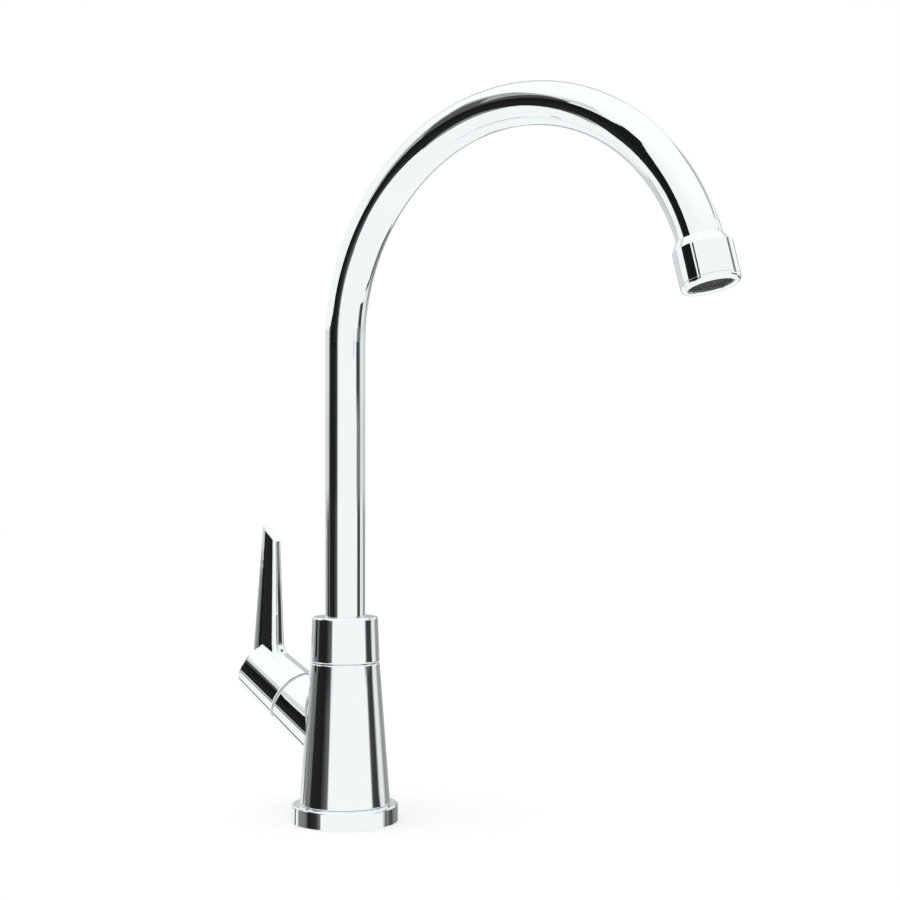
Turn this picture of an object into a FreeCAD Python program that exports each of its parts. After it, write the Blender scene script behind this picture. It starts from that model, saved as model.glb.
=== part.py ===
import FreeCAD, Part
import math
import os

V = FreeCAD.Vector
UP = V(0, 0, 1)
ACROSS = V(0, 1, 0)

# All sizes are in millimetres and degrees. The deck is z = 0, the column stands on the z axis, the
# spout points along +x and the valve branch along -x.

# Spout tube
TUBE_DIA = 20.0
TUBE_WALL = 1.2
BEND_START = 237.7
BEND_RADIUS = 104.0
BEND_SWEEP = 165.8

# Nozzle on the tube's end, with the aerator screwed into it
NOZZLE_WALL = 2.0
NOZZLE_SHOULDER = 4.0
NOZZLE_TOP_LIP = 0.4
TUBE_INSERT = 6.0
BRAZE_GAP = 0.05
GASKET_LEDGE = 1.2
GASKET_LEDGE_WIDTH = 1.4
AERATOR_STEP = 1.0
AERATOR_DEPTH = 11.4
AERATOR_GASKET = 1.5
AERATOR_WALL = 0.9
AERATOR_FLANGE = 2.8
AERATOR_FLANGE_ROUND = 2.0
MOUTH_LIP = 1.8
MOUTH_LIP_WIDTH = 0.4
MOUTH_ROUND = 1.2
SCREEN_THICK = 0.4
SCREEN_PITCH = 2.0
SCREEN_BAR = 0.5
SCREEN_SPACER = 1.0
SIEVE_THICK = 1.4
SIEVE_HOLE_DIA = 1.8
SIEVE_RIM = 2.25
SIEVE_RINGS = 2
SIEVE_RING_HOLES = 6
DIFFUSER_WEB = 1.6
DIFFUSER_WALL = 1.3
JET_DIA = 1.6
JET_COUNT = 10
JET_INSET = 2.4

# Spout swivel: spigot, seals and washers under the collar
SPIGOT_WALL = 1.4
SPIGOT_SHOULDER = 3.0
SPIGOT_END_GAP = 0.8
SWIVEL_CLEARANCE = 0.08
AXIAL_GAP = 0.1
SLIP_WASHER = 1.0
SEAL_GROOVE_DEPTH = 1.6
SEAL_GROOVE_WIDTH = 2.2
SEAL_PITCH = 5.5
SEAL_CLEARANCE = 0.04

# Collar and column
COLLAR_HEIGHT = 22.55
COLLAR_WEB = 6.5
COLLAR_WALL = 2.2
COLLAR_TAPER = 2.1
COLLAR_TOP_ROUND = 1.3
GROOVE_WIDTH = 0.3
GROOVE_ROUND = 0.8
NECK_WALL = 3.5
BODY_HEIGHT = 78.65
BODY_TAPER = 4.3
WATERWAY_WALL = 3.0

# Base
FLANGE_HEIGHT = 9.0
FLANGE_LEDGE = 3.9
FLANGE_TOP_ROUND = 1.0
FOOT_STEP = 1.5
FOOT_LIFT = 0.4
GASKET_WIDTH = 2.4
GASKET_DEPTH = 2.0
GASKET_RIM = 1.4
RECESS_WALL = 3.5
CEILING_THICK = 17.0
RECESS_ROUND = 2.0
INLET_HOLE_DIA = 9.0
INLET_HOLE_DEPTH = 12.0
INLET_OFFSET = 8.0
INLET_BORE_DIA = 8.0
STUD_HOLE_DIA = 6.8
STUD_HOLE_DEPTH = 12.0
STUD_OFFSET = 9.0

# Valve branch
BRANCH_HEIGHT = 38.0
BRANCH_TILT = 30.0
BRANCH_REACH = 39.2
BRANCH_WALL = 4.75
BRANCH_TAPER = 2.5
BRANCH_FILLET = 1.5
SEAT_HOLE_DIA = 10.0
OUTLET_BORE_DIA = 8.0
OUTLET_OFFSET = 7.0

# Ceramic valve, measured along the branch axis from the branch's end face
VALVE_THREAD_DIA = 20.955
VALVE_DEPTH = 31.2
VALVE_THREAD_LENGTH = 10.0
VALVE_LIP = 1.82
VALVE_FLANGE = 2.0
VALVE_HEX_STEP = 0.2
VALVE_HEX_HEIGHT = 5.0
VALVE_NECK_DIA = 14.0
VALVE_NECK_HEIGHT = 3.7
CAGE_STEP = 1.53
CAGE_WALL = 0.85
CAGE_LIFT = 1.0
WINDOW_WIDTH = 9.0
WINDOW_HEIGHT = 6.0
VALVE_GASKET_WIDTH = 2.0
VALVE_GASKET_DEPTH = 1.2
SEAT_SEAL_THICK = 2.3
DISC_THICK = 3.2
DISC_GAP = 0.05
DISC_HUB_DIA = 4.4
DISC_RIM = 1.5
PORT_ANGLE = 76.0
DRIVE_WIDTH = 3.0
DRIVE_DEPTH = 1.2
DRIVE_CLEARANCE = 0.1
SPINDLE_DIA = 8.0
SPINDLE_CLEARANCE = 0.05
SPINDLE_FOOT = 3.0
THRUST_WASHER = 0.8
STEM_GROOVE_DEPTH = 1.2
STEM_GROOVE_WIDTH = 1.7
STEM_SEAL_PITCH = 5.0
CLIP_THICK = 1.0
CLIP_GROOVE_DEPTH = 0.8
CLIP_WIDTH = 2.3
CLIP_OPENING = 4.0
SPLINE_LENGTH = 10.0
SPLINE_TEETH = 20
SPLINE_LAND = 0.25
SPLINE_DEPTH = 0.45
SPLINE_CLEARANCE = 0.06

# Lever handle
HANDLE_GAP = 1.4
HANDLE_RING_RECESS = 0.6
HUB_END_WALL = 8.2
HUB_CLEARANCE = 0.75
HUB_END_ROUND = 1.6
SOCKET_END_GAP = 0.5
BLADE_RISE = 73.4
BLADE_REACH = 16.4
BLADE_LEAN = -2.8
BLADE_SINK = 2.4
BLADE_DEPTH = 19.3
BLADE_THICK = 9.6
BLADE_TIP_SCALE = 0.51
BLADE_BEVEL = 22.0
BLADE_BEVEL_WIDTH = 6.3
BLADE_BEVEL_BLEND = 0.7
BLADE_OUTER_ROUND = 1.7
BLADE_INNER_ROUND = 3.7
BLADE_TIP_SLOPE = 40.0
BLADE_TIP_ROUND = 0.4
BLADE_FILLET = 1.0
FLARE_RISE = 6.0
FLARE_RADIUS = 12.0
FLARE_SWEEP = 50.0
FLARE_STEPS = 5
SCREW_DIA = 5.0
SCREW_SOCKET = 2.5
SCREW_SOCKET_DEPTH = 2.5
SCREW_CLEARANCE = 0.05
PLUG_LENGTH = 2.6
PLUG_GAP = 1.6
PLUG_RECESS = 0.2

# Shared clearances and rounds, and how far a cutter runs past the face that it opens
SEAT_CLEARANCE = 0.1
MOVING_GAP = 0.3
THREAD_CLEARANCE = 0.05
EDGE_ROUND = 0.5
FINE_ROUND = 0.25
OVERCUT = 1.0
AXIS_TOLERANCE = 1e-6

# Radii of the swivel, from the tube outwards
tube_r = TUBE_DIA / 2
tube_bore_r = tube_r - TUBE_WALL
spigot_r = tube_r + SPIGOT_WALL
socket_r = spigot_r + SWIVEL_CLEARANCE
neck_r = socket_r + NECK_WALL
collar_bore_r = neck_r + THREAD_CLEARANCE
collar_foot_r = collar_bore_r + COLLAR_WALL
collar_top_r = collar_foot_r - COLLAR_HEIGHT * math.tan(math.radians(COLLAR_TAPER))
collar_tube_r = tube_r + MOVING_GAP

# Radii of the column and its base
column_foot_r = collar_foot_r + (BODY_HEIGHT - FLANGE_HEIGHT) * math.tan(math.radians(BODY_TAPER))
foot_r = column_foot_r - FOOT_STEP
recess_r = foot_r - RECESS_WALL
flange_r = column_foot_r + FLANGE_LEDGE
groove_outer_r = flange_r - GASKET_RIM
groove_inner_r = groove_outer_r - GASKET_WIDTH

# Heights of the swivel, from the collar's top down
collar_foot_z = BODY_HEIGHT + GROOVE_WIDTH
collar_top_z = collar_foot_z + COLLAR_HEIGHT
web_z = collar_top_z - COLLAR_WEB
shoulder_top_z = web_z - SLIP_WASHER - AXIAL_GAP
shoulder_z = shoulder_top_z - SPIGOT_SHOULDER
neck_top_z = shoulder_z - AXIAL_GAP - SLIP_WASHER

# Branch and valve bore
tilt = math.radians(BRANCH_TILT)
valve_r = VALVE_THREAD_DIA / 2
valve_bore_r = valve_r + THREAD_CLEARANCE
branch_end_r = valve_bore_r + BRANCH_WALL
branch_slope = math.tan(math.radians(BRANCH_TAPER))
seat_reach = BRANCH_REACH - VALVE_DEPTH

# The underside recess ends below the valve bore, with the tapped holes in the ceiling between them
bore_foot_z = BRANCH_HEIGHT + seat_reach * math.sin(tilt) - valve_bore_r * math.cos(tilt)
recess_top_z = bore_foot_z - CEILING_THICK

# The spout's socket ends above the valve bore, with a wall between them
socket_floor_z = (BRANCH_HEIGHT + socket_r * math.tan(tilt) + valve_bore_r / math.cos(tilt)
                  + WATERWAY_WALL)
spigot_foot_z = socket_floor_z + SPIGOT_END_GAP
tube_foot_z = spigot_foot_z + 2 * SEAL_PITCH + SEAL_GROOVE_WIDTH

# Valve stations along the branch axis, counted from the branch's end face
seat_w = -VALVE_DEPTH
cage_foot_w = seat_w + CAGE_LIFT
fixed_disc_w = seat_w + SEAT_SEAL_THICK
moving_disc_w = fixed_disc_w + DISC_THICK + DISC_GAP
spindle_foot_w = moving_disc_w + DISC_THICK + DISC_GAP
spindle_foot_top_w = spindle_foot_w + SPINDLE_FOOT
thrust_w = spindle_foot_top_w + AXIAL_GAP
cage_roof_w = thrust_w + THRUST_WASHER
hex_w = VALVE_FLANGE
neck_w = hex_w + VALVE_HEX_HEIGHT
valve_top_w = neck_w + VALVE_NECK_HEIGHT
clip_w = valve_top_w + AXIAL_GAP
spline_w = clip_w + 2 * CLIP_THICK
spindle_top_w = spline_w + SPLINE_LENGTH
valve_flange_r = valve_r + VALVE_LIP
valve_hex_r = (valve_flange_r - VALVE_HEX_STEP) * math.cos(math.pi / 6)
valve_neck_r = VALVE_NECK_DIA / 2
gasket_root_r = valve_r - VALVE_GASKET_WIDTH
cage_r = valve_r - CAGE_STEP
disc_bore_r = cage_r - CAGE_WALL
disc_r = disc_bore_r - SEAT_CLEARANCE
stem_r = SPINDLE_DIA / 2
stem_bore_r = stem_r + SPINDLE_CLEARANCE
stem_groove_r = stem_r - STEM_GROOVE_DEPTH
upper_stem_seal_w = -VALVE_GASKET_DEPTH - STEM_GROOVE_WIDTH
clip_groove_r = stem_r - CLIP_GROOVE_DEPTH

# Hub stations along the branch axis, counted from the branch's end face
socket_end_w = spindle_top_w + SOCKET_END_GAP
hub_end_w = socket_end_w + HUB_END_WALL
hub_floor_w = spline_w + AXIAL_GAP
skirt_r = valve_flange_r + HUB_CLEARANCE
screw_w = spline_w + SPLINE_LENGTH / 2
plug_top_r = branch_end_r - branch_slope * screw_w - PLUG_RECESS

# The branch frame has its z along the branch, away from the column, and its x across it, upwards
branch_turn = FreeCAD.Rotation(ACROSS, BRANCH_TILT - 90)
branch_frame = FreeCAD.Placement(V(0, 0, BRANCH_HEIGHT), branch_turn)
branch_end = branch_frame.multVec(V(0, 0, BRANCH_REACH))
branch_axis = branch_turn.multVec(UP)
valve_frame = FreeCAD.Placement(branch_end, branch_turn)
hub_end = valve_frame.multVec(V(0, 0, hub_end_w))

# The nozzle frame has its z along the outflow, from the tube's end
bend_angle = math.radians(BEND_SWEEP)
tube_end = V(BEND_RADIUS * (1 - math.cos(bend_angle)), 0, BEND_START + BEND_RADIUS * math.sin(bend_angle))
nozzle_frame = FreeCAD.Placement(tube_end, FreeCAD.Rotation(ACROSS, BEND_SWEEP))
nozzle_bend_gap = TUBE_INSERT ** 2 / (2 * BEND_RADIUS)
nozzle_tube_r = tube_r + BRAZE_GAP + nozzle_bend_gap
aerator_bore_r = tube_r + AERATOR_STEP
nozzle_r = aerator_bore_r + NOZZLE_WALL
ledge_r = tube_r - GASKET_LEDGE_WIDTH
aerator_r = aerator_bore_r - THREAD_CLEARANCE
aerator_core_r = aerator_r - AERATOR_WALL
mouth_r = aerator_core_r - MOUTH_LIP_WIDTH
insert_r = aerator_core_r - SEAT_CLEARANCE
nozzle_mouth_h = GASKET_LEDGE + AERATOR_DEPTH
aerator_top_h = GASKET_LEDGE + AERATOR_GASKET
mouth_h = nozzle_mouth_h + AERATOR_FLANGE
core_foot_h = mouth_h - MOUTH_LIP


def outline(corners):
    """Closed wire in the xz plane through corners (x, z) or (x, z, rounding radius)."""
    spots = [V(corner[0], 0, corner[1]) for corner in corners]
    runs = []
    for i, corner in enumerate(corners):
        at = spots[i]
        if len(corner) == 2:
            runs.append((at, None, at))
            continue
        radius = corner[2]
        back = (spots[i - 1] - at).normalize()
        ahead = (spots[(i + 1) % len(spots)] - at).normalize()
        half = back.getAngle(ahead) / 2
        reach = radius / math.tan(half)
        inward = (back + ahead).normalize()
        middle = at + inward * (radius / math.sin(half) - radius)
        runs.append((at + back * reach, middle, at + ahead * reach))
    edges = []
    for i, (first, middle, last) in enumerate(runs):
        if middle is not None:
            edges.append(Part.Arc(first, middle, last).toShape())
        edges.append(Part.LineSegment(last, runs[(i + 1) % len(runs)][0]).toShape())
    return Part.Wire(edges)


def turned(corners):
    """Solid of revolution about the z axis of a closed (radius, height) outline."""
    return Part.Face(outline(corners)).revolve(V(0, 0, 0), UP, 360)


def ring(inner_r, outer_r, low, high):
    return turned([(inner_r, low), (outer_r, low), (outer_r, high), (inner_r, high)])


def rod(radius, low, high, x=0.0, y=0.0):
    return Part.makeCylinder(radius, high - low, V(x, y, low), UP)


def block(width, depth, low, high, x=0.0):
    """Box across the z axis: width along x, depth along y."""
    return Part.makeBox(width, depth, high - low, V(x - width / 2, -depth / 2, low))


def hexagon(flat_r, low, high):
    """Upright hexagonal prism with its flats at the given radius from the axis."""
    corner_r = flat_r / math.cos(math.pi / 6)
    turns = [math.pi * (i + 0.5) / 3 for i in range(7)]
    wire = Part.makePolygon([V(corner_r * math.cos(a), corner_r * math.sin(a), low) for a in turns])
    return Part.Face(wire).extrude(V(0, 0, high - low))


def placed(shape, frame):
    moved = shape.copy()
    moved.Placement = frame
    return moved


def branch_r(w):
    """Outside radius of the tapered branch and hub at a station along their axis."""
    return branch_end_r - branch_slope * w


def lies_along(face, axis):
    """Whether a face belongs to a form that was turned about the given direction."""
    return hasattr(face.Surface, "Axis") and face.Surface.Axis.cross(axis).Length < AXIS_TOLERANCE


def seam_edges(shape, axis):
    """Edges where faces turned about the given direction meet the other faces."""
    seam = []
    for edge in shape.Edges:
        sides = [lies_along(face, axis) for face in shape.ancestorsOfType(edge, Part.Face)]
        if True in sides and False in sides:
            seam.append(edge)
    return seam


def tap_body():
    column = turned([
        (0, FOOT_LIFT),
        (foot_r, FOOT_LIFT, EDGE_ROUND),
        (foot_r, FLANGE_HEIGHT),
        (column_foot_r, FLANGE_HEIGHT, EDGE_ROUND),
        (collar_foot_r, BODY_HEIGHT, GROOVE_ROUND),
        (neck_r, BODY_HEIGHT),
        (neck_r, neck_top_z, EDGE_ROUND),
        (0, neck_top_z),
    ])
    branch = placed(turned([
        (0, -BRANCH_REACH),
        (branch_r(-BRANCH_REACH), -BRANCH_REACH),
        (branch_end_r, 0, EDGE_ROUND),
        (0, 0),
    ]), valve_frame)
    casting = column.fuse(branch)
    casting = casting.makeFillet(BRANCH_FILLET, seam_edges(casting, branch_axis))

    recess = turned([(0, 0), (recess_r, 0), (recess_r, recess_top_z, RECESS_ROUND), (0, recess_top_z)])
    inlet_back = INLET_OFFSET / math.cos(tilt)
    inlet_top_z = BRANCH_HEIGHT - inlet_back * math.sin(tilt)
    inlet = rod(INLET_BORE_DIA / 2, recess_top_z, inlet_top_z, INLET_OFFSET)
    inlet_thread = rod(INLET_HOLE_DIA / 2, 0, recess_top_z + INLET_HOLE_DEPTH, INLET_OFFSET)
    stud_thread = rod(STUD_HOLE_DIA / 2, 0, recess_top_z + STUD_HOLE_DEPTH, -STUD_OFFSET)
    valve_bore = placed(turned([
        (0, -BRANCH_REACH - inlet_back),
        (SEAT_HOLE_DIA / 2, -BRANCH_REACH - inlet_back),
        (SEAT_HOLE_DIA / 2, seat_w),
        (valve_bore_r, seat_w),
        (valve_bore_r, OVERCUT),
        (0, OVERCUT),
    ]), valve_frame)
    outlet_foot_z = BRANCH_HEIGHT + (cage_r + OUTLET_OFFSET * math.sin(tilt)) / math.cos(tilt)
    outlet = rod(OUTLET_BORE_DIA / 2, outlet_foot_z, socket_floor_z + OVERCUT, -OUTLET_OFFSET)
    socket = rod(socket_r, socket_floor_z, neck_top_z + OVERCUT)
    for hollow in (recess, inlet, inlet_thread, stud_thread, valve_bore, outlet, socket):
        casting = casting.cut(hollow)
    return casting


def base_flange():
    bore_r = foot_r + SEAT_CLEARANCE
    return turned([
        (bore_r, 0),
        (groove_inner_r, 0),
        (groove_inner_r, GASKET_DEPTH),
        (groove_outer_r, GASKET_DEPTH),
        (groove_outer_r, 0),
        (flange_r, 0, EDGE_ROUND),
        (flange_r, FLANGE_HEIGHT, FLANGE_TOP_ROUND),
        (bore_r, FLANGE_HEIGHT),
    ])


def base_gasket():
    return ring(groove_inner_r + SEAT_CLEARANCE, groove_outer_r - SEAT_CLEARANCE, 0, GASKET_DEPTH)


def collar_nut():
    return turned([
        (collar_bore_r, collar_foot_z),
        (collar_foot_r, collar_foot_z, GROOVE_ROUND),
        (collar_top_r, collar_top_z, COLLAR_TOP_ROUND),
        (collar_tube_r, collar_top_z, EDGE_ROUND),
        (collar_tube_r, web_z),
        (collar_bore_r, web_z),
    ])


def lower_slip_washer():
    return ring(socket_r, neck_r, neck_top_z, neck_top_z + SLIP_WASHER)


def upper_slip_washer():
    return ring(collar_tube_r, neck_r, web_z - SLIP_WASHER, web_z)


def tube_run(radius):
    """Straight rise and bend of one radius along the spout's centre line."""
    rise = rod(radius, tube_foot_z, BEND_START)
    section = Part.Face(Part.Wire(Part.makeCircle(radius, V(0, 0, BEND_START), UP)))
    bend = section.revolve(V(BEND_RADIUS, 0, BEND_START), ACROSS, BEND_SWEEP)
    return rise.fuse(bend)


def spout_tube():
    return tube_run(tube_r).cut(tube_run(tube_bore_r))


def seal_heights():
    first = spigot_foot_z + SEAL_PITCH / 2 + SEAL_GROOVE_WIDTH / 2
    return [first, first + SEAL_PITCH]


def spout_spigot():
    seat_r = tube_r + BRAZE_GAP
    groove_r = spigot_r - SEAL_GROOVE_DEPTH
    outside = [(tube_bore_r, spigot_foot_z), (spigot_r, spigot_foot_z, EDGE_ROUND)]
    for z in seal_heights():
        low, high = z - SEAL_GROOVE_WIDTH / 2, z + SEAL_GROOVE_WIDTH / 2
        outside += [(spigot_r, low), (groove_r, low), (groove_r, high), (spigot_r, high)]
    shoulder_r = collar_bore_r - MOVING_GAP
    outside += [(spigot_r, shoulder_z), (shoulder_r, shoulder_z), (shoulder_r, shoulder_top_z)]
    inside = [(seat_r, shoulder_top_z), (seat_r, tube_foot_z), (tube_bore_r, tube_foot_z)]
    return turned(outside + inside)


def o_ring(root_r, bore_r, height):
    """Seal between a groove's root and the bore that it runs in."""
    middle_r = (bore_r + root_r) / 2
    return Part.makeTorus(middle_r, bore_r - middle_r - SEAL_CLEARANCE, V(0, 0, height), UP)


def spout_o_rings():
    root_r = spigot_r - SEAL_GROOVE_DEPTH
    return Part.makeCompound([o_ring(root_r, socket_r, z) for z in seal_heights()])


def spout_nozzle():
    top_h = -TUBE_INSERT
    return placed(turned([
        (nozzle_tube_r, top_h),
        (nozzle_tube_r + NOZZLE_TOP_LIP, top_h),
        (nozzle_r, top_h + NOZZLE_SHOULDER, EDGE_ROUND),
        (nozzle_r, nozzle_mouth_h),
        (aerator_bore_r, nozzle_mouth_h),
        (aerator_bore_r, GASKET_LEDGE),
        (ledge_r, GASKET_LEDGE),
        (ledge_r, 0),
        (nozzle_tube_r, 0),
    ]), nozzle_frame)


def aerator_gasket():
    return placed(ring(ledge_r, aerator_r, GASKET_LEDGE, aerator_top_h), nozzle_frame)


def aerator_shell():
    return placed(turned([
        (aerator_core_r, aerator_top_h),
        (aerator_r, aerator_top_h, FINE_ROUND),
        (aerator_r, nozzle_mouth_h),
        (nozzle_r, nozzle_mouth_h, FINE_ROUND),
        (nozzle_r, mouth_h, AERATOR_FLANGE_ROUND),
        (mouth_r, mouth_h, MOUTH_ROUND),
        (mouth_r, core_foot_h),
        (aerator_core_r, core_foot_h),
    ]), nozzle_frame)


def aerator_sieve():
    foot_h = aerator_top_h + SIEVE_THICK
    plate = rod(insert_r, aerator_top_h, foot_h)
    hole_r = SIEVE_HOLE_DIA / 2
    ring_step = (insert_r - SIEVE_RIM - hole_r) / SIEVE_RINGS
    holes = [rod(hole_r, aerator_top_h, foot_h)]
    for step in range(1, SIEVE_RINGS + 1):
        count = SIEVE_RING_HOLES * step
        for i in range(count):
            turn = 2 * math.pi * i / count
            x, y = ring_step * step * math.cos(turn), ring_step * step * math.sin(turn)
            holes.append(rod(hole_r, aerator_top_h, foot_h, x, y))
    return placed(plate.cut(Part.makeCompound(holes)), nozzle_frame)


def screen_heights():
    """Upper faces of the two mesh discs, the lower one on the shell's lip."""
    lower = core_foot_h - SCREEN_THICK
    return [lower - SCREEN_SPACER - SCREEN_THICK, lower]


def aerator_diffuser():
    top_h = aerator_top_h + SIEVE_THICK
    foot_h = screen_heights()[0]
    cup = turned([
        (0, top_h),
        (insert_r, top_h),
        (insert_r, foot_h),
        (insert_r - DIFFUSER_WALL, foot_h),
        (insert_r - DIFFUSER_WALL, top_h + DIFFUSER_WEB),
        (0, top_h + DIFFUSER_WEB),
    ])
    jets = []
    for i in range(JET_COUNT):
        turn = 2 * math.pi * i / JET_COUNT
        reach = insert_r - DIFFUSER_WALL - JET_INSET
        jets.append(rod(JET_DIA / 2, top_h, top_h + DIFFUSER_WEB, reach * math.cos(turn),
                        reach * math.sin(turn)))
    return placed(cup.cut(Part.makeCompound(jets)), nozzle_frame)


def mesh_disc(height):
    opening = SCREEN_PITCH - SCREEN_BAR
    count = int(insert_r // SCREEN_PITCH)
    openings = []
    for i in range(-count, count + 1):
        for j in range(-count, count + 1):
            corner = math.hypot(abs(i) * SCREEN_PITCH + opening / 2, abs(j) * SCREEN_PITCH + opening / 2)
            if corner < insert_r - SCREEN_BAR:
                spot = V(i * SCREEN_PITCH - opening / 2, j * SCREEN_PITCH - opening / 2, height)
                openings.append(Part.makeBox(opening, opening, SCREEN_THICK, spot))
    return rod(insert_r, height, height + SCREEN_THICK).cut(Part.makeCompound(openings))


def aerator_screens():
    upper, lower = screen_heights()
    spacer = ring(insert_r - DIFFUSER_WALL, insert_r, upper + SCREEN_THICK, lower)
    pieces = [mesh_disc(upper), spacer, mesh_disc(lower)]
    return Part.makeCompound([placed(piece, nozzle_frame) for piece in pieces])


def valve_housing():
    cage = turned([
        (disc_bore_r, cage_foot_w),
        (cage_r, cage_foot_w),
        (cage_r, -VALVE_GASKET_DEPTH - VALVE_THREAD_LENGTH),
        (valve_r, -VALVE_GASKET_DEPTH - VALVE_THREAD_LENGTH, EDGE_ROUND),
        (valve_r, -VALVE_GASKET_DEPTH),
        (gasket_root_r, -VALVE_GASKET_DEPTH),
        (gasket_root_r, 0),
        (valve_flange_r, 0),
        (valve_flange_r, hex_w),
        (valve_neck_r, hex_w),
        (valve_neck_r, valve_top_w, EDGE_ROUND),
        (stem_bore_r, valve_top_w),
        (stem_bore_r, cage_roof_w),
        (disc_bore_r, cage_roof_w),
    ])
    nut = hexagon(valve_hex_r, hex_w, neck_w).cut(rod(valve_neck_r, hex_w, neck_w))
    window = block(4 * cage_r, WINDOW_WIDTH, moving_disc_w, moving_disc_w + WINDOW_HEIGHT)
    return placed(cage.fuse(nut).cut(window), valve_frame)


def valve_gasket():
    return placed(ring(gasket_root_r + SEAT_CLEARANCE, valve_r, -VALVE_GASKET_DEPTH, 0), valve_frame)


def seat_seal():
    return placed(ring(SEAT_HOLE_DIA / 2, disc_r, seat_w, fixed_disc_w), valve_frame)


def disc_ports(low, high, middle, outer_r):
    """Two opposite sectors between the disc's hub and the given radius, about a middle direction."""
    ports = []
    for turn in (middle, middle + 180):
        port = Part.makeCylinder(outer_r, high - low, V(0, 0, low), UP, PORT_ANGLE)
        port = port.cut(rod(DISC_HUB_DIA / 2, low, high))
        port.rotate(V(0, 0, 0), UP, turn - PORT_ANGLE / 2)
        ports.append(port)
    return ports


def fixed_disc():
    top = fixed_disc_w + DISC_THICK
    disc = rod(disc_r, fixed_disc_w, top)
    ports = disc_ports(fixed_disc_w, top, 0, disc_r - DISC_RIM)
    return placed(disc.cut(Part.makeCompound(ports)), valve_frame)


def moving_disc():
    top = moving_disc_w + DISC_THICK
    disc = rod(disc_r, moving_disc_w, top)
    slot = block(2 * disc_r, DRIVE_WIDTH, top - DRIVE_DEPTH, top)
    notches = disc_ports(moving_disc_w, top, 90, disc_r + OVERCUT)
    return placed(disc.cut(Part.makeCompound(notches + [slot])), valve_frame)


def spline_prism(outer_r, root_r, low, high):
    """Toothed prism with straight flanks."""
    points = []
    for i in range(2 * SPLINE_TEETH):
        radius = outer_r if i % 2 == 0 else root_r
        for side in (-SPLINE_LAND, SPLINE_LAND):
            turn = math.pi * (i + side) / SPLINE_TEETH
            points.append(V(radius * math.cos(turn), radius * math.sin(turn), low))
    points.append(points[0])
    return Part.Face(Part.makePolygon(points)).extrude(V(0, 0, high - low))


def stem_seal_stations():
    return [upper_stem_seal_w - STEM_SEAL_PITCH, upper_stem_seal_w]


def spindle():
    corners = [(0, spindle_foot_w), (disc_r, spindle_foot_w), (disc_r, spindle_foot_top_w),
               (stem_r, spindle_foot_top_w)]
    for w in stem_seal_stations():
        low, high = w - STEM_GROOVE_WIDTH / 2, w + STEM_GROOVE_WIDTH / 2
        corners += [(stem_r, low), (stem_groove_r, low), (stem_groove_r, high), (stem_r, high)]
    corners += [(stem_r, clip_w), (clip_groove_r, clip_w), (clip_groove_r, clip_w + CLIP_THICK),
                (stem_r, clip_w + CLIP_THICK), (stem_r, spline_w), (0, spline_w)]
    stem = turned(corners)
    spline = spline_prism(stem_r, stem_r - SPLINE_DEPTH, spline_w, spindle_top_w)
    tongue = block(2 * disc_r, DRIVE_WIDTH - 2 * DRIVE_CLEARANCE,
                   spindle_foot_w - DRIVE_DEPTH + DRIVE_CLEARANCE, spindle_foot_w)
    tongue = tongue.common(rod(disc_r, seat_w, spindle_foot_w))
    return placed(stem.fuse([spline, tongue]), valve_frame)


def spindle_o_rings():
    seals = [o_ring(stem_groove_r, stem_bore_r, w) for w in stem_seal_stations()]
    return Part.makeCompound([placed(seal, valve_frame) for seal in seals])


def thrust_washer():
    return placed(ring(stem_bore_r, disc_r, thrust_w, cage_roof_w), valve_frame)


def spindle_circlip():
    inner_r = clip_groove_r + SPINDLE_CLEARANCE
    clip = ring(inner_r, inner_r + CLIP_WIDTH, clip_w, clip_w + CLIP_THICK)
    mouth = block(SPINDLE_DIA, CLIP_OPENING, clip_w, clip_w + CLIP_THICK, SPINDLE_DIA / 2)
    return placed(clip.cut(mouth), valve_frame)


def handle_ring():
    inner_r = valve_flange_r + SEAT_CLEARANCE
    return placed(ring(inner_r, branch_end_r - HANDLE_RING_RECESS, 0, HANDLE_GAP - MOVING_GAP),
                  valve_frame)


def flare_top():
    """Height above the hub's end centre at which the blade's inner edge starts to curve out to the hub."""
    hub_top = branch_r(hub_end_w) / math.cos(tilt) - BLADE_REACH * math.tan(tilt)
    return hub_top + FLARE_RISE


def blade_section(height, flare=0):
    """Level section of the blade: blunt inner edge and sides that curve in to a slim outer edge."""
    share = height / BLADE_RISE
    size = 1 + (BLADE_TIP_SCALE - 1) * share
    inner = BLADE_REACH + BLADE_LEAN * share
    outer = inner - BLADE_DEPTH * size
    shoulder = outer + BLADE_BEVEL_WIDTH * size
    bevel = math.radians(BLADE_BEVEL)
    half = BLADE_THICK * size / 2
    edge_half = half - BLADE_BEVEL_WIDTH * size * math.tan(bevel)
    side_round = BLADE_BEVEL_BLEND * BLADE_BEVEL_WIDTH * size / math.cos(bevel) / math.tan(bevel / 2)
    section = outline([
        (inner + flare, -half, BLADE_INNER_ROUND * size),
        (inner + flare, half, BLADE_INNER_ROUND * size),
        (shoulder, half, side_round),
        (outer, edge_half, BLADE_OUTER_ROUND * size),
        (outer, -edge_half, BLADE_OUTER_ROUND * size),
        (shoulder, -half, side_round),
    ])
    section.rotate(V(0, 0, 0), V(1, 0, 0), -90)
    section.translate(V(0, 0, height))
    return section


def blade_root():
    """Foot of the blade, flared towards the hub, sunk as far as its outer edge overhangs the hub's end."""
    root_height = (BLADE_REACH - BLADE_DEPTH) / math.tan(tilt) - BLADE_SINK
    turns = [math.radians(FLARE_SWEEP) * (1 - step / FLARE_STEPS) for step in range(FLARE_STEPS + 1)]
    sections = [blade_section(root_height, FLARE_RADIUS * (1 - math.cos(turns[0])))]
    for turn in turns:
        height = flare_top() - FLARE_RADIUS * math.sin(turn)
        sections.append(blade_section(height, FLARE_RADIUS * (1 - math.cos(turn))))
    return Part.makeLoft(sections, True)


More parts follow.
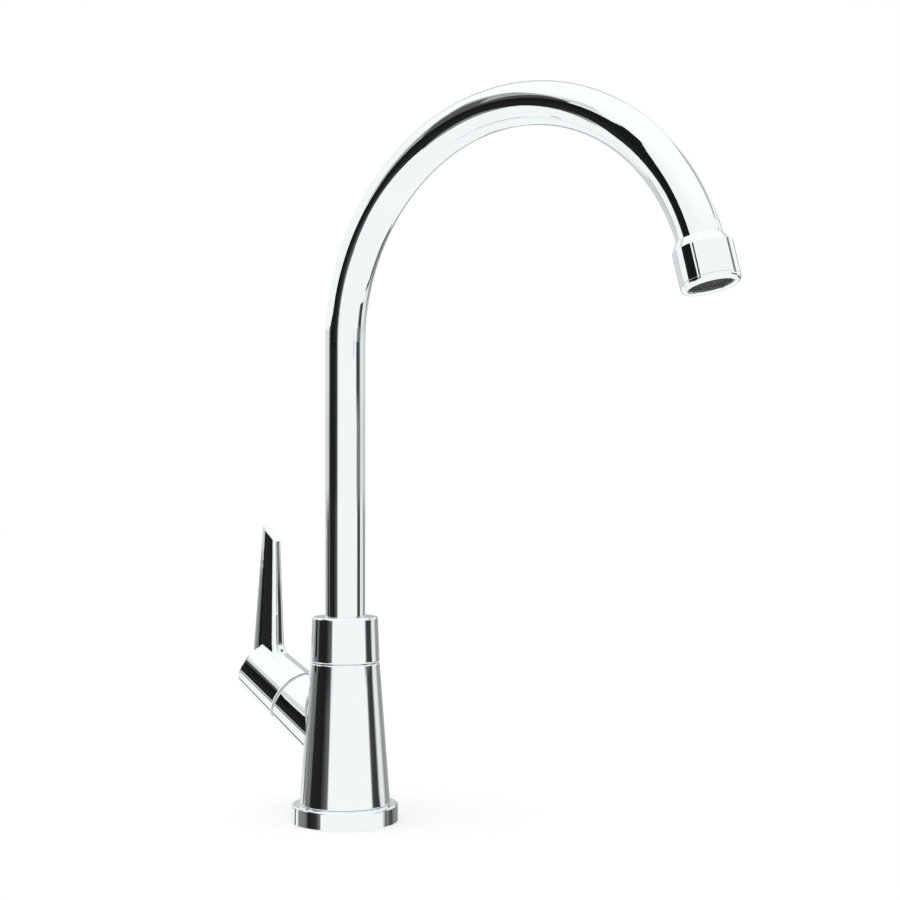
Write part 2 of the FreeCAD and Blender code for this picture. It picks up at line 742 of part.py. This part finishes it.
def lever_blade():
    shank = Part.makeLoft([blade_section(flare_top()), blade_section(BLADE_RISE + OVERCUT)], True, True)
    tip_outer = BLADE_REACH + BLADE_LEAN - BLADE_DEPTH * BLADE_TIP_SCALE
    above = Part.makeBox(2 * BLADE_RISE, 2 * BLADE_THICK, BLADE_RISE, V(-BLADE_RISE, -BLADE_THICK, 0))
    above.rotate(V(0, 0, 0), ACROSS, BLADE_TIP_SLOPE)
    above.translate(V(tip_outer, 0, BLADE_RISE))
    shank = shank.cut(above)
    tip = max(shank.Faces, key=lambda face: face.CenterOfMass.z)
    shank = shank.makeFillet(BLADE_TIP_ROUND, tip.Edges)
    bar = shank.fuse(blade_root())
    bar.translate(hub_end)
    return bar


def lever_handle():
    hub = placed(turned([
        (0, HANDLE_GAP),
        (branch_r(HANDLE_GAP), HANDLE_GAP, EDGE_ROUND),
        (branch_r(hub_end_w), hub_end_w, HUB_END_ROUND),
        (0, hub_end_w),
    ]), valve_frame)
    handle = hub.fuse(lever_blade())
    handle = handle.makeFillet(BLADE_FILLET, seam_edges(handle, branch_axis))
    skirt = placed(rod(skirt_r, 0, hub_floor_w), valve_frame)
    tooth_r = stem_r + SPLINE_CLEARANCE
    socket = spline_prism(tooth_r, tooth_r - SPLINE_DEPTH, hub_floor_w, socket_end_w)
    socket = placed(socket, valve_frame)
    screw_hole = cross_rod(SCREW_DIA / 2 + SCREW_CLEARANCE, 0, branch_end_r)
    for hollow in (skirt, socket, screw_hole):
        handle = handle.cut(hollow)
    return handle


def crossed(shape):
    """Upright shape laid across the hub, pointing down from its axis at the set screw's station."""
    laid = shape.copy()
    laid.rotate(V(0, 0, 0), ACROSS, -90)
    laid.translate(V(0, 0, screw_w))
    return placed(Part.makeCompound([laid]), valve_frame)


def cross_rod(radius, low, high):
    return crossed(rod(radius, low, high))


def handle_screw():
    low = stem_r + SPLINE_CLEARANCE
    high = plug_top_r - PLUG_LENGTH - PLUG_GAP
    screw = cross_rod(SCREW_DIA / 2, low, high)
    key = hexagon(SCREW_SOCKET / 2, high - SCREW_SOCKET_DEPTH, high)
    return screw.cut(crossed(key))


def screw_plug():
    return cross_rod(SCREW_DIA / 2, plug_top_r - PLUG_LENGTH, plug_top_r)


PIECES = (
    tap_body,
    base_flange,
    base_gasket,
    collar_nut,
    lower_slip_washer,
    upper_slip_washer,
    spout_tube,
    spout_spigot,
    spout_o_rings,
    spout_nozzle,
    aerator_gasket,
    aerator_shell,
    aerator_sieve,
    aerator_diffuser,
    aerator_screens,
    valve_housing,
    valve_gasket,
    seat_seal,
    fixed_disc,
    moving_disc,
    spindle,
    spindle_o_rings,
    thrust_washer,
    spindle_circlip,
    handle_ring,
    lever_handle,
    handle_screw,
    screw_plug,
)

os.makedirs("parts", exist_ok=True)
for make in PIECES:
    shape = make()
    shape.exportStep("parts/" + make.__name__ + ".step")
    print(make.__name__, "solids", len(shape.Solids), "valid", shape.isValid(), "mm3", round(shape.Volume))
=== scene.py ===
import bpy
import math
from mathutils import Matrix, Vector


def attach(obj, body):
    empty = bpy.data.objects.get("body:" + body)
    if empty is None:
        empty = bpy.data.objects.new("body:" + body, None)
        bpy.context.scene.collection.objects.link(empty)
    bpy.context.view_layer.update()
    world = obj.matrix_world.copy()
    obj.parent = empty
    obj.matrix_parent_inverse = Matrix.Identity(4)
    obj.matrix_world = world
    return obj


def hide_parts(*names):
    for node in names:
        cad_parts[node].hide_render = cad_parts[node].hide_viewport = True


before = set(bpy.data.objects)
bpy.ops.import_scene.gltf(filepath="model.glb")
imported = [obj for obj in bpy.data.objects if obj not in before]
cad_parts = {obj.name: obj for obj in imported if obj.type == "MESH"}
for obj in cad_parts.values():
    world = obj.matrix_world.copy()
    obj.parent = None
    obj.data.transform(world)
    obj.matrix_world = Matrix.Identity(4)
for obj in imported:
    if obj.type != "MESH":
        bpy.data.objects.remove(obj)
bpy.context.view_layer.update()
scene = bpy.context.scene

# Camera at the photograph's viewing angle
CAMERA_SPOT = Vector((0.5352, -0.5781, 0.1587))
CAMERA_AIM = Vector((0.0323, 0.0435, 0.1849))
CAMERA_LENS = 62.8
CAMERA_ROLL = -0.07
CAMERA_REACH = 50.0

# Faint clouds and grain in the finishes
CLOUD_DETAIL = 3.0
CLOUD_DARK = 0.3
CLOUD_LIGHT = 0.7
GRAIN_DEPTH = 0.0001

# Woven aerator screens, in metres and degrees
OUTFLOW_LEAN = 14.2
WIRE_PITCH = 0.00105
WIRE_RADIUS = 0.00009
WIRE_WAVE = 0.0001
WIRE_SIDES = 5
SCREEN_THICK = 0.0004
SCREEN_RIM = 0.0006
RIM_STEPS = 64
RIM_EDGE_ANGLE = 40

# Studio round the tap, in metres and degrees
FLOOR_SIZE = 12.0
FLOOR_DROP = 0.0001
FLOOR_TONE = 0.9
FLOOR_ROUGHNESS = 0.9
FLOOR_LIFT = 0.25
SKY_GLOW = 1.0
OVERHEAD_GLOW = 1.1
OVERHEAD_START = 0.5
OVERHEAD_FULL = 0.8
FILL_GLOW = 0.7
SUN_SPOT = (0.6, -0.6, 2.0)
SUN_ENERGY = 0.55
SUN_WIDTH = 60
SUN_TILT = (20, -15)
CARD_DISTANCE = 8.0
CARD_SPACING = 0.5
CARD_EYE = 0.15
RING_STEPS = 72
RING_SEAM = 0.00001

# Colour sockets of a mix node: two to blend and the result
MIX_FIRST = 6
MIX_SECOND = 7
MIX_RESULT = 2

# Shades that the chrome mirrors round the tap, each as degrees to the right of the camera and brightness
LOWER_SHADES = (
    (-180, 0.45), (-160, 0.9), (-120, 1.0), (-115, 0.25), (-92, 0.2), (-82, 0.012), (-62, 0.03),
    (-52, 0.15), (-48, 1.0), (92, 1.0), (99, 0.15), (112, 0.2), (117, 0.065), (128, 0.08),
    (134, 0.25), (152, 0.25), (180, 0.45),
)
SINKING_SHADES = (
    (-180, 0.45), (-155, 0.75), (-125, 1.0), (-94, 1.0), (-86, 0.08), (-81, 0.012), (-60, 0.02),
    (-52, 0.05), (-46, 0.3), (-43, 1.0), (75, 1.0), (79, 0.16), (84, 0.05), (104, 0.04),
    (109, 0.9), (122, 0.85), (134, 0.28), (152, 0.36), (180, 0.45),
)
HORIZON_SHADES = (
    (-180, 0.45), (-155, 0.75), (-130, 0.5), (-116, 0.2), (-98, 0.16), (-95, 0.02), (-62, 0.014),
    (-56, 0.05), (-42, 0.15), (-39, 1.0), (75, 1.0), (79, 0.16), (84, 0.05), (104, 0.04),
    (109, 0.9), (122, 0.85), (134, 0.28), (152, 0.36), (180, 0.45),
)
RISING_SHADES = (
    (-180, 0.45), (-155, 0.75), (-112, 0.7), (-102, 0.3), (-95.5, 0.02), (-64, 0.012), (-50, 0.04),
    (-43, 0.12), (-40, 0.8), (-32, 1.0), (70, 1.0), (74, 0.35), (80, 0.2), (100, 0.22), (106, 0.5),
    (113, 0.85), (132, 0.6), (152, 0.6), (180, 0.45),
)
UPPER_SHADES = (
    (-180, 0.45), (-155, 0.75), (-112, 0.8), (-106, 0.6), (-102, 0.3), (-95.5, 0.02), (-64, 0.012),
    (-50, 0.035), (-43, 0.11), (-40, 0.8), (-32, 1.0), (67, 1.0), (71, 0.2), (75, 0.04), (84, 0.05),
    (96, 0.5), (113, 0.85), (132, 0.75), (180, 0.45),
)

# Bands that carry them: name, lower and upper edge in degrees above the horizon, shades along each edge
STUDIO_BANDS = (
    ("lower_band", -13.0, -10.6, LOWER_SHADES, LOWER_SHADES),
    ("dipping_band", -10.6, -10.0, LOWER_SHADES, SINKING_SHADES),
    ("sinking_band", -10.0, -8.4, SINKING_SHADES, SINKING_SHADES),
    ("leaning_band", -8.4, -7.6, SINKING_SHADES, HORIZON_SHADES),
    ("horizon_band", -7.6, -0.5, HORIZON_SHADES, HORIZON_SHADES),
    ("lifting_band", -0.5, 0.6, HORIZON_SHADES, RISING_SHADES),
    ("rising_band", 0.6, 3.2, RISING_SHADES, RISING_SHADES),
    ("climbing_band", 3.2, 4.6, RISING_SHADES, UPPER_SHADES),
    ("upper_band", 4.6, 8.0, UPPER_SHADES, UPPER_SHADES),
)

# Flat cards above and below the bands: name, brightness and corners, each corner as degrees to the
# right of the camera and degrees above the horizon
STUDIO_CARDS = (
    ("left_black_wing", 0.01,
     ((-88, 6), (-50, 6), (-56, 13), (-60, 20), (-51, 33), (-57, 33), (-64, 25), (-71, 21),
      (-78, 17), (-81, 10))),
    ("left_black_foot", 0.012, ((-73, -12), (-50, -12), (-57, -24), (-63, -20))),
    ("left_foot_haze", 0.25, ((-80, -12), (-62, -12), (-56, -28), (-66, -27), (-76, -19))),
    ("left_thin_slat", 0.06, ((-50, 11.5), (-44, 13), (-43.5, 16), (-49.5, 14.5))),
    ("left_high_dusk", 0.07, ((-80, 12), (-72, 18), (-70, 26), (-73, 30), (-79, 30), (-81, 22))),
    ("left_high_slate", 0.1, ((-98, 39), (-89, 39), (-81, 26), (-79, 15), (-84, 20), (-95, 31))),
    ("left_high_haze", 0.4, ((-108, 44), (-86, 44), (-72, 32), (-76, 12), (-86, 14))),
    ("left_high_mist", 0.75, ((-65, 26), (-77, 23), (-74, 33), (-63, 38))),
    ("right_low_slate", 0.16, ((114, -12), (124, -22), (134, -24), (146, -12))),
    ("right_high_slate", 0.22, ((98, 21), (112, 18), (112, 28), (98, 30))),
    ("right_far_slate", 0.22, ((148, 9), (172, 6), (172, 14), (148, 18))),
    ("right_high_mist", 0.5, ((108, 32), (125, 45), (145, 40), (145, 28), (120, 27))),
    ("back_haze", 0.62, ((162, -12), (198, -12), (198, 42), (162, 42))),
)

# Small cards close to the tap: the same, with each corner's distance from the tap's axis in metres
NEAR_CARDS = (
    ("lever_left_slat", 0.01,
     ((-115, -1, 0.152), (-106.5, -1, 0.152), (-101.5, -18, 0.251), (-112, -18, 0.251))),
    ("lever_low_slat", 0.05,
     ((-110, -67.2, 0.077), (-119, -68.1, 0.074), (-125, -32.4, 0.188), (-121.5, -32.2, 0.189))),
    ("spout_white_card", 1.0,
     ((33, 66.9, 0.0715), (9.7, 48.2, 0.127), (9.7, 30.6, 0.127), (33, 46.4, 0.0715))),
)


def paint(name):
    """A new material with its nodes and links."""
    material = bpy.data.materials.new(name)
    material.use_nodes = True
    return material, material.node_tree.nodes, material.node_tree.links


def mottled(name, light, dark, patch, roughness, metallic=0.0, bump=0.0, grain=900.0):
    """Finish whose colour and gloss wander a little over the piece, with a faint surface grain."""
    material, nodes, links = paint(name)
    shader = nodes["Principled BSDF"]
    shader.inputs["Metallic"].default_value = metallic
    place = nodes.new("ShaderNodeTexCoord")
    cloud = nodes.new("ShaderNodeTexNoise")
    cloud.inputs["Scale"].default_value = patch
    cloud.inputs["Detail"].default_value = CLOUD_DETAIL
    links.new(place.outputs["Object"], cloud.inputs["Vector"])
    tint = nodes.new("ShaderNodeValToRGB")
    tint.color_ramp.elements[0].position = CLOUD_DARK
    tint.color_ramp.elements[0].color = (*dark, 1.0)
    tint.color_ramp.elements[1].position = CLOUD_LIGHT
    tint.color_ramp.elements[1].color = (*light, 1.0)
    links.new(cloud.outputs["Fac"], tint.inputs["Fac"])
    links.new(tint.outputs["Color"], shader.inputs["Base Color"])
    gloss = nodes.new("ShaderNodeMapRange")
    gloss.inputs["To Min"].default_value = roughness[0]
    gloss.inputs["To Max"].default_value = roughness[1]
    links.new(cloud.outputs["Fac"], gloss.inputs["Value"])
    links.new(gloss.outputs["Result"], shader.inputs["Roughness"])
    if bump:
        pores = nodes.new("ShaderNodeTexNoise")
        pores.inputs["Scale"].default_value = grain
        links.new(place.outputs["Object"], pores.inputs["Vector"])
        relief = nodes.new("ShaderNodeBump")
        relief.inputs["Strength"].default_value = bump
        relief.inputs["Distance"].default_value = GRAIN_DEPTH
        links.new(pores.outputs["Fac"], relief.inputs["Height"])
        links.new(relief.outputs["Normal"], shader.inputs["Normal"])
    return material


# Steel of the woven screens and their case, darkened to near black: painted shade inside the nozzle's mouth
SHADED_SCREEN_FINISH = mottled("screen_wire_painted_shade", (0.17, 0.17, 0.17), (0.08, 0.08, 0.085), 600.0,
                        (0.28, 0.4), metallic=1.0)
FINISHES = {
    "polished_chrome": mottled("polished_chrome", (0.886, 0.928, 0.936), (0.872, 0.916, 0.925), 40.0,
                               (0.015, 0.045), metallic=1.0),
    "turned_brass": mottled("turned_brass", (0.78, 0.58, 0.27), (0.70, 0.49, 0.21), 120.0,
                            (0.22, 0.36), metallic=1.0, bump=0.15, grain=2500.0),
    "stainless_steel": mottled("stainless_steel", (0.62, 0.62, 0.61), (0.50, 0.50, 0.50), 300.0,
                               (0.2, 0.32), metallic=1.0, bump=0.1, grain=4000.0),
    "black_rubber": mottled("black_rubber", (0.03, 0.03, 0.032), (0.016, 0.016, 0.017), 200.0,
                            (0.55, 0.75), bump=0.3, grain=3000.0),
    "white_nylon": mottled("white_nylon", (0.86, 0.86, 0.84), (0.80, 0.80, 0.78), 150.0,
                           (0.3, 0.42), bump=0.1, grain=1800.0),
    "white_ceramic": mottled("white_ceramic", (0.90, 0.89, 0.86), (0.85, 0.84, 0.81), 180.0,
                             (0.12, 0.2)),
    # The grey plastic is darkened well below its own grey: painted shade for the diffuser deep in the
    # nozzle's mouth
    "grey_plastic": mottled("grey_plastic", (0.075, 0.078, 0.08), (0.05, 0.052, 0.055), 200.0,
                            (0.35, 0.5), bump=0.1, grain=2000.0),
}


def finish_cad_pieces():
    """Each piece of the CAD model gets the finish that its material slot names."""
    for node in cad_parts.values():
        slot = node.material_slots[0].material.name.split(".")[0]
        node.data.materials.clear()
        node.data.materials.append(FINISHES[slot])


def along_outflow():
    """Direction of the water that leaves the nozzle."""
    lean = math.radians(OUTFLOW_LEAN)
    return Vector((math.sin(lean), 0, -math.cos(lean)))


def weave_wire(reach, aside, first_up, crosswise):
    """One wire across a screen, waved over and under the wires that it crosses."""
    steps = int(reach / WIRE_PITCH)
    wave = WIRE_WAVE if (steps % 2 == 0) == first_up else -WIRE_WAVE
    along = Vector((0, 1, 0)) if crosswise else Vector((1, 0, 0))
    across = Vector((1, 0, 0)) if crosswise else Vector((0, 1, 0))
    start = across * aside - along * steps * WIRE_PITCH + Vector((0, 0, wave))
    turn = (math.radians(-90), 0, 0) if crosswise else (0, math.radians(90), 0)
    stub = along * (reach - steps * WIRE_PITCH)
    bpy.ops.mesh.primitive_circle_add(vertices=WIRE_SIDES, radius=WIRE_RADIUS, fill_type="NGON",
                                      location=start - stub, rotation=turn)
    moves = [stub]
    for step in range(2 * steps):
        wave = -wave
        moves.append(along * WIRE_PITCH + Vector((0, 0, 2 * wave)))
    for move in moves + [stub]:
        bpy.ops.mesh.extrude_region_move(TRANSFORM_OT_translate={"value": move})


def woven_screen(name, radius):
    """Plain weave that fills a circle, lying level at the origin, its wires added to one emptied mesh."""
    bpy.ops.object.select_all(action="DESELECT")
    bpy.ops.mesh.primitive_circle_add(vertices=RIM_STEPS, radius=radius - SCREEN_RIM)
    screen = bpy.context.object
    screen.name = name
    bpy.ops.object.mode_set(mode="EDIT")
    bpy.ops.mesh.select_all(action="SELECT")
    bpy.ops.mesh.delete(type="VERT")
    inside = radius - SCREEN_RIM / 2
    for crosswise in (False, True):
        for number in range(-int(inside / WIRE_PITCH), int(inside / WIRE_PITCH) + 1):
            aside = number * WIRE_PITCH
            reach = math.sqrt(inside ** 2 - aside ** 2)
            weave_wire(reach, aside, (number % 2 == 0) != crosswise, crosswise)
    bpy.ops.mesh.select_all(action="SELECT")
    bpy.ops.mesh.normals_make_consistent(inside=False)
    bpy.ops.object.mode_set(mode="OBJECT")
    return screen


def screen_case(name, radius, height):
    """Thin round case that holds the screens, standing at the origin."""
    bpy.ops.object.select_all(action="DESELECT")
    bpy.ops.mesh.primitive_cylinder_add(vertices=RIM_STEPS, radius=radius, depth=height,
                                        end_fill_type="NOTHING", location=(0, 0, height / 2))
    case = bpy.context.object
    case.name = name
    bpy.ops.object.transform_apply(location=True, rotation=False, scale=False)
    wall = case.modifiers.new("wall", "SOLIDIFY")
    wall.thickness = SCREEN_RIM
    wall.offset = -1.0
    bpy.ops.object.modifier_apply(modifier="wall")
    bpy.ops.object.shade_smooth_by_angle(angle=math.radians(RIM_EDGE_ANGLE))
    return case


def aerator_screens():
    """Two woven screens in a case, in place of the plain CAD ones."""
    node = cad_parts["aerator_screens"]
    outflow = along_outflow()
    levels = [corner.co.dot(outflow) for corner in node.data.vertices]
    aside = [abs(corner.co.y) for corner in node.data.vertices]
    centre = sum((corner.co for corner in node.data.vertices), Vector()) / len(levels)
    centre.y = 0
    top = centre + outflow * (min(levels) - centre.dot(outflow))
    radius = max(aside)
    depth = max(levels) - min(levels)
    pieces = [screen_case("screen_case", radius, depth)]
    for name, height in (("upper_screen", SCREEN_THICK / 2), ("lower_screen", depth - SCREEN_THICK / 2)):
        screen = woven_screen(name, radius)
        screen.location = (0, 0, height)
        bpy.ops.object.transform_apply(location=True, rotation=False, scale=False)
        pieces.append(screen)
    for piece in pieces:
        bpy.ops.object.select_all(action="DESELECT")
        piece.select_set(True)
        bpy.context.view_layer.objects.active = piece
        piece.rotation_euler = (math.pi, math.radians(-OUTFLOW_LEAN), 0)
        piece.location = top
        bpy.ops.object.transform_apply(location=True, rotation=True, scale=False)
        piece.data.materials.append(SHADED_SCREEN_FINISH)
        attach(piece, "spout")
        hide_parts("aerator_screens")


def bright_sky():
    """White all round, brighter overhead in the chrome, and a little dimmer as light on the tap."""
    world = bpy.data.worlds.new("white_studio")
    scene.world = world
    world.use_nodes = True
    nodes, links = world.node_tree.nodes, world.node_tree.links
    seen = nodes["Background"]
    seen.inputs["Color"].default_value = (1.0, 1.0, 1.0, 1.0)
    place = nodes.new("ShaderNodeTexCoord")
    parts = nodes.new("ShaderNodeSeparateXYZ")
    links.new(place.outputs["Generated"], parts.inputs["Vector"])
    overhead = nodes.new("ShaderNodeMapRange")
    overhead.inputs["From Min"].default_value = OVERHEAD_START
    overhead.inputs["From Max"].default_value = OVERHEAD_FULL
    overhead.inputs["To Min"].default_value = SKY_GLOW
    overhead.inputs["To Max"].default_value = OVERHEAD_GLOW
    links.new(parts.outputs["Z"], overhead.inputs["Value"])
    links.new(overhead.outputs["Result"], seen.inputs["Strength"])
    fill = nodes.new("ShaderNodeBackground")
    fill.inputs["Color"].default_value = (1.0, 1.0, 1.0, 1.0)
    fill.inputs["Strength"].default_value = FILL_GLOW
    ray = nodes.new("ShaderNodeLightPath")
    looks = ray.outputs["Is Camera Ray"]
    for other in ("Is Glossy Ray", "Is Transmission Ray"):
        either = nodes.new("ShaderNodeMath")
        either.operation = "MAXIMUM"
        links.new(looks, either.inputs[0])
        links.new(ray.outputs[other], either.inputs[1])
        looks = either.outputs["Value"]
    choice = nodes.new("ShaderNodeMixShader")
    links.new(looks, choice.inputs["Fac"])
    links.new(fill.outputs["Background"], choice.inputs[1])
    links.new(seen.outputs["Background"], choice.inputs[2])
    links.new(choice.outputs["Shader"], nodes["World Output"].inputs["Surface"])


def pale_floor():
    """White floor that keeps the tap's soft shadow."""
    bpy.ops.object.select_all(action="DESELECT")
    bpy.ops.mesh.primitive_plane_add(size=FLOOR_SIZE, location=(0, 0, -FLOOR_DROP))
    floor = bpy.context.object
    floor.name = "studio_floor"
    material, nodes, links = paint("studio_floor")
    shader = nodes["Principled BSDF"]
    shader.inputs["Base Color"].default_value = (FLOOR_TONE, FLOOR_TONE, FLOOR_TONE, 1.0)
    shader.inputs["Roughness"].default_value = FLOOR_ROUGHNESS
    shader.inputs["Specular IOR Level"].default_value = 0.0
    lift = nodes.new("ShaderNodeEmission")
    ray = nodes.new("ShaderNodeLightPath")
    share = nodes.new("ShaderNodeMath")
    share.operation = "MULTIPLY"
    share.inputs[1].default_value = FLOOR_LIFT
    links.new(ray.outputs["Is Camera Ray"], share.inputs[0])
    links.new(share.outputs["Value"], lift.inputs["Strength"])
    total = nodes.new("ShaderNodeAddShader")
    links.new(shader.outputs["BSDF"], total.inputs[0])
    links.new(lift.outputs["Emission"], total.inputs[1])
    links.new(total.outputs["Shader"], nodes["Material Output"].inputs["Surface"])
    floor.data.materials.append(material)
    floor.visible_glossy = False


def soft_sun():
    """Broad lamp from above that gives the floor its soft shadow."""
    bpy.ops.object.light_add(type="SUN", location=SUN_SPOT)
    sun = bpy.context.object
    sun.name = "soft_sun"
    sun.data.energy = SUN_ENERGY
    sun.data.angle = math.radians(SUN_WIDTH)
    sun.rotation_euler = (math.radians(SUN_TILT[0]), math.radians(SUN_TILT[1]), 0)
    sun.visible_glossy = False


def card_shade(name, level):
    """Even glow of one brightness."""
    material, nodes, links = paint(name)
    glow = nodes.new("ShaderNodeEmission")
    glow.inputs["Color"].default_value = (level, level, level, 1.0)
    links.new(glow.outputs["Emission"], nodes["Material Output"].inputs["Surface"])
    return material


def facing():
    """Direction from the tap to the camera, seen from above."""
    toward = CAMERA_SPOT - CAMERA_AIM
    return math.atan2(toward.y, toward.x)


def card_rise(height, distance):
    """Height in metres of a spot that the tap sees so many degrees above the horizon."""
    return CARD_EYE + distance * math.tan(math.radians(height))


def card_corner(bearing, height, distance):
    """Spot that the tap sees so far to the right of the camera and so far above the horizon, in degrees."""
    turn = facing() + math.radians(bearing)
    return Vector((distance * math.cos(turn), distance * math.sin(turn), card_rise(height, distance)))


def only_mirrored(card):
    """Makes a card part of the studio that shows in the chrome alone."""
    card.visible_camera = False
    card.visible_diffuse = False
    card.visible_shadow = False


def start_card(name, spot):
    """A new mesh in edit mode that has one point."""
    bpy.ops.object.select_all(action="DESELECT")
    bpy.ops.mesh.primitive_plane_add(size=1.0)
    card = bpy.context.object
    card.name = name
    bpy.ops.object.mode_set(mode="EDIT")
    bpy.ops.mesh.merge(type="CENTER")
    bpy.ops.transform.translate(value=spot)
    return card


def bearing_tone(material, shades):
    """Ramp of shades by the bearing from the tap's axis."""
    nodes, links = material.node_tree.nodes, material.node_tree.links
    place = nodes.new("ShaderNodeTexCoord")
    turn = nodes.new("ShaderNodeMapping")
    turn.inputs["Rotation"].default_value = (0, 0, -facing())
    links.new(place.outputs["Object"], turn.inputs["Vector"])
    sweep = nodes.new("ShaderNodeTexGradient")
    sweep.gradient_type = "RADIAL"
    links.new(turn.outputs["Vector"], sweep.inputs["Vector"])
    tone = nodes.new("ShaderNodeValToRGB")
    links.new(sweep.outputs["Fac"], tone.inputs["Fac"])
    stops = tone.color_ramp.elements
    stops.remove(stops[1])
    for number, (bearing, level) in enumerate(shades):
        share = bearing / 360 + 0.5
        stop = stops.new(share) if number else stops[0]
        stop.position = share
        stop.color = (level, level, level, 1.0)
    return tone.outputs["Color"]


def band_shade(name, foot, top, foot_shades, top_shades):
    """Glow that changes with the bearing and from the foot to the top of a band."""
    material, nodes, links = paint(name)
    place = nodes.new("ShaderNodeTexCoord")
    parts = nodes.new("ShaderNodeSeparateXYZ")
    links.new(place.outputs["Object"], parts.inputs["Vector"])
    climb = nodes.new("ShaderNodeMapRange")
    climb.inputs["From Min"].default_value = foot
    climb.inputs["From Max"].default_value = top
    links.new(parts.outputs["Z"], climb.inputs["Value"])
    blend = nodes.new("ShaderNodeMix")
    blend.data_type = "RGBA"
    links.new(climb.outputs["Result"], blend.inputs["Factor"])
    links.new(bearing_tone(material, foot_shades), blend.inputs[MIX_FIRST])
    links.new(bearing_tone(material, top_shades), blend.inputs[MIX_SECOND])
    glow = nodes.new("ShaderNodeEmission")
    links.new(blend.outputs[MIX_RESULT], glow.inputs["Color"])
    links.new(glow.outputs["Emission"], nodes["Material Output"].inputs["Surface"])
    return material


def studio_band(name, low, high, foot_shades, top_shades):
    """A wall all round the tap, swept from one upright edge, seen only in the chrome."""
    foot = card_rise(low, CARD_DISTANCE)
    top = card_rise(high, CARD_DISTANCE)
    band = start_card(name, Vector((CARD_DISTANCE, 0, foot)))
    bpy.ops.mesh.extrude_vertices_move(TRANSFORM_OT_translate={"value": (0, 0, top - foot)})
    bpy.ops.mesh.select_all(action="SELECT")
    bpy.ops.mesh.spin(steps=RING_STEPS, angle=math.tau, center=(0, 0, 0), axis=(0, 0, 1))
    bpy.ops.mesh.select_all(action="SELECT")
    bpy.ops.mesh.remove_doubles(threshold=RING_SEAM)
    bpy.ops.object.mode_set(mode="OBJECT")
    band.data.materials.append(band_shade(name, foot, top, foot_shades, top_shades))
    only_mirrored(band)


def studio_card(name, level, spots):
    """A flat card with these corners, seen only in the chrome."""
    card = start_card(name, spots[0])
    for here, there in zip(spots, spots[1:]):
        bpy.ops.mesh.extrude_vertices_move(TRANSFORM_OT_translate={"value": there - here})
    bpy.ops.mesh.select_all(action="SELECT")
    bpy.ops.mesh.edge_face_add()
    bpy.ops.object.mode_set(mode="OBJECT")
    card.data.materials.append(card_shade(name, level))
    only_mirrored(card)


def studio_camera():
    """Camera that sees the tap as the photograph does."""
    bpy.ops.object.camera_add(location=CAMERA_SPOT)
    camera = bpy.context.object
    camera.name = "studio_camera"
    camera.data.lens = CAMERA_LENS
    camera.rotation_euler = (CAMERA_AIM - CAMERA_SPOT).to_track_quat("-Z", "Y").to_euler()
    camera.rotation_euler.rotate_axis("Z", math.radians(CAMERA_ROLL))
    camera.data.clip_end = CAMERA_REACH
    scene.camera = camera


finish_cad_pieces()
aerator_screens()
bright_sky()
pale_floor()
soft_sun()
for band in STUDIO_BANDS:
    studio_band(*band)
for place, (name, level, corners) in enumerate(STUDIO_CARDS):
    distance = CARD_DISTANCE + CARD_SPACING * place
    studio_card(name, level, [card_corner(*corner, distance) for corner in corners])
for name, level, corners in NEAR_CARDS:
    studio_card(name, level, [card_corner(*corner) for corner in corners])
studio_camera()
scene.view_settings.view_transform = "Standard"
